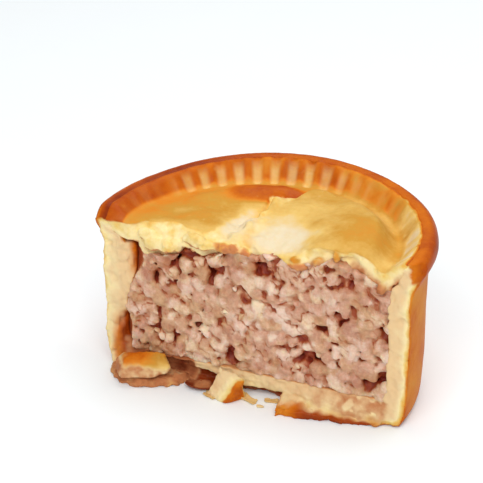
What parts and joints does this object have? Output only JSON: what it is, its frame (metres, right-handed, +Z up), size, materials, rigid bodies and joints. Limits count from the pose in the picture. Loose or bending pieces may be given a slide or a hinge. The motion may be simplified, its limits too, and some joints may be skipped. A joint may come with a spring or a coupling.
{
  "type": "cut minced meat pie",
  "caption": "Cut piece of a small raised meat pie: pastry case, sunken crimped lid and minced meat filling showing at the cut, with crust crumbs in front.",
  "frame": {"origin": "on the pie's own axis at the level of the underside of its base", "axes": "+Z up along the axis of the whole pie, the cut faces -Y, +X to the right as seen from the cut"},
  "size_m": [0.0998, 0.0664, 0.0536],
  "materials": {
    "case_crust": "browned glazed pastry crust, cream and flaky where cut",
    "lid_crust": "golden satin pastry lid, pale and flaky where torn",
    "cooked_mince": "moist greyish pink cooked minced meat",
    "crumb_crust": "broken pastry crust, browned on one side and pale inside"
  },
  "bodies": {
    "root": {"pastry_case": "case_crust", "pastry_lid": "lid_crust", "mince_filling": "cooked_mince", "crust_crumb_left": "crumb_crust", "crust_crumb_middle": "crumb_crust"}
  },
  "joints": []
}
